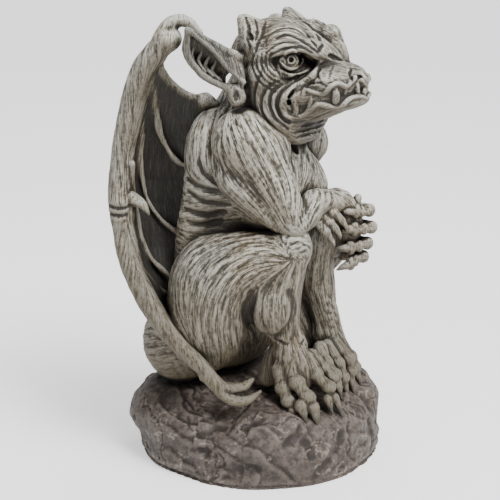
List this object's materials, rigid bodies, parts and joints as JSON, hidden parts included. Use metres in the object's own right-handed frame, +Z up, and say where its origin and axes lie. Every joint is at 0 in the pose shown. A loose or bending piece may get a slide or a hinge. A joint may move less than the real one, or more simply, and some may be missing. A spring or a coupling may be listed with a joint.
{
  "type": "gargoyle statue",
  "caption": "Seated winged gargoyle with clasped hands, a jutting jaw and big ears, crouching on a rounded rock plinth, cast in one piece.",
  "frame": {"origin": "centre of the flat underside of the rock plinth", "axes": "+Z up, -Y the way the gargoyle faces, +X to its left"},
  "size_m": [0.2037, 0.1997, 0.3519],
  "materials": {
    "cast_stone": "matt grey stone paint, antiqued dark in the hollows and dry-brushed pale on the ridges"
  },
  "bodies": {
    "root": {"gargoyle_statue": "cast_stone"}
  },
  "joints": []
}
